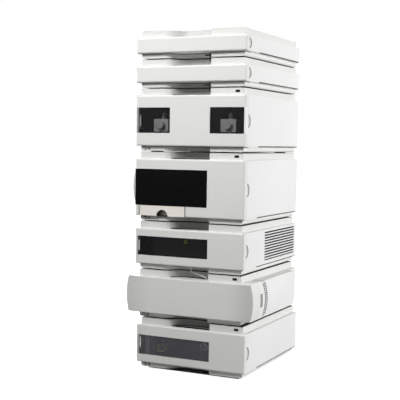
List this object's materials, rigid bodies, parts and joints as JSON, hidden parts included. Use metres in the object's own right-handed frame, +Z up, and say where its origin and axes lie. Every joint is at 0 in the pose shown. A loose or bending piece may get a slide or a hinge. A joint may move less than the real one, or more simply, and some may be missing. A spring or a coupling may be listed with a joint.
{
  "type": "hplc system",
  "caption": "Free-standing stack of liquid-chromatography modules with pull-off front covers, smoked windows, a hinged sampler door and a wide column oven.",
  "frame": {"origin": "middle of the bounding box, on the bench under the feet", "axes": "+X to the right seen from the front, +Y to the back, +Z up"},
  "size_m": [0.398, 0.423, 0.968],
  "materials": {
    "cabinet_paint": "fine textured light grey paint",
    "cover_plastic": "light grey moulded plastic",
    "smoked_window": "smoked transparent plastic",
    "door_black": "near black gloss plastic",
    "dark_plastic": "dark plastic",
    "steel": "machined steel",
    "aluminium": "milled aluminium",
    "brass": "passivated brass",
    "button_plastic": "white plastic",
    "lamp_lens": "clear lamp lens",
    "status_lens": "dark lamp lens",
    "white_tube": "white fluoropolymer tube",
    "rubber": "black rubber"
  },
  "bodies": {
    "stack": {"column_oven_base": "cover_plastic", "column_oven_cabinet": "cabinet_paint", "column_oven_left_heater": "aluminium", "column_oven_lid": "cover_plastic", "column_oven_pilot_lamp": "lamp_lens", "column_oven_right_heater": "aluminium", "column_oven_status_lamp": "status_lens", "degasser_base": "cover_plastic", "degasser_cabinet": "cabinet_paint", "degasser_lid": "cover_plastic", "drain_tube": "white_tube", "drip_catchers": "dark_plastic", "fluor_detector_base": "cover_plastic", "fluor_detector_bracket": "aluminium", "fluor_detector_cabinet": "cabinet_paint", "fluor_detector_flow_cell": "brass", "fluor_detector_lamp_house": "aluminium", "fluor_detector_lid": "cover_plastic", "fluor_detector_pilot_lamp": "lamp_lens", "fluor_detector_status_lamp": "status_lens", "pump_base": "cover_plastic", "pump_cabinet": "cabinet_paint", "pump_left_head": "steel", "pump_lid": "cover_plastic", "pump_pilot_lamp": "lamp_lens", "pump_right_head": "steel", "pump_status_lamp": "status_lens", "rubber_feet": "rubber", "sampler_arm": "aluminium", "sampler_base": "cover_plastic", "sampler_cabinet": "cabinet_paint", "sampler_lid": "cover_plastic", "sampler_pilot_lamp": "lamp_lens", "sampler_status_lamp": "status_lens", "sampler_vial_rack": "dark_plastic", "uv_detector_base": "cover_plastic", "uv_detector_cabinet": "cabinet_paint", "uv_detector_lid": "cover_plastic", "uv_detector_optics": "dark_plastic", "valve_module_base": "cover_plastic", "valve_module_cabinet": "cabinet_paint", "valve_module_lid": "cover_plastic"},
    "valve_module_cover": {"valve_module_cover": "cover_plastic"},
    "degasser_cover": {"degasser_cover": "cover_plastic"},
    "pump_cover": {"pump_cover": "cover_plastic", "pump_left_window": "smoked_window", "pump_right_window": "smoked_window"},
    "sampler_cover": {"sampler_cover": "cover_plastic"},
    "uv_detector_cover": {"uv_detector_cover": "cover_plastic", "uv_detector_window": "smoked_window"},
    "column_oven_cover": {"column_oven_cover": "cover_plastic"},
    "fluor_detector_cover": {"fluor_detector_cover": "cover_plastic", "fluor_detector_window": "smoked_window"},
    "sampler_door": {"sampler_door": "door_black", "sampler_door_grip": "cover_plastic"},
    "sampler_drawer": {"sampler_drawer": "cover_plastic"},
    "fluor_detector_power_button": {"fluor_detector_power_button": "button_plastic"},
    "column_oven_power_button": {"column_oven_power_button": "button_plastic"},
    "sampler_power_button": {"sampler_power_button": "button_plastic"},
    "pump_power_button": {"pump_power_button": "button_plastic"}
  },
  "joints": [
    {"name": "valve_module_cover_pull", "type": "slide", "parent": "stack", "child": "valve_module_cover", "axis": [0, -1, 0], "range_m": [0, 0.06]},
    {"name": "degasser_cover_pull", "type": "slide", "parent": "stack", "child": "degasser_cover", "axis": [0, -1, 0], "range_m": [0, 0.06]},
    {"name": "pump_cover_pull", "type": "slide", "parent": "stack", "child": "pump_cover", "axis": [0, -1, 0], "range_m": [0, 0.06]},
    {"name": "sampler_cover_pull", "type": "slide", "parent": "stack", "child": "sampler_cover", "axis": [0, -1, 0], "range_m": [0, 0.06]},
    {"name": "uv_detector_cover_pull", "type": "slide", "parent": "stack", "child": "uv_detector_cover", "axis": [0, -1, 0], "range_m": [0, 0.06]},
    {"name": "column_oven_cover_pull", "type": "slide", "parent": "stack", "child": "column_oven_cover", "axis": [0, -1, 0], "range_m": [0, 0.09]},
    {"name": "fluor_detector_cover_pull", "type": "slide", "parent": "stack", "child": "fluor_detector_cover", "axis": [0, -1, 0], "range_m": [0, 0.06]},
    {"name": "sampler_door_swing", "type": "hinge", "parent": "sampler_cover", "child": "sampler_door", "pos_m": [0.0528, -0.2047, 0.4747], "axis": [0, 0, 1], "range_deg": [0, 110]},
    {"name": "sampler_drawer_slide", "type": "slide", "parent": "stack", "child": "sampler_drawer", "axis": [0, -1, 0], "range_m": [0, 0.12]},
    {"name": "fluor_detector_power_press", "type": "slide", "parent": "stack", "child": "fluor_detector_power_button", "axis": [0, 1, 0], "range_m": [0, 0.0018], "stiffness_N_per_m": 600},
    {"name": "column_oven_power_press", "type": "slide", "parent": "stack", "child": "column_oven_power_button", "axis": [0, 1, 0], "range_m": [0, 0.0018], "stiffness_N_per_m": 600},
    {"name": "sampler_power_press", "type": "slide", "parent": "stack", "child": "sampler_power_button", "axis": [0, 1, 0], "range_m": [0, 0.0018], "stiffness_N_per_m": 600},
    {"name": "pump_power_press", "type": "slide", "parent": "stack", "child": "pump_power_button", "axis": [0, 1, 0], "range_m": [0, 0.0018], "stiffness_N_per_m": 600}
  ]
}
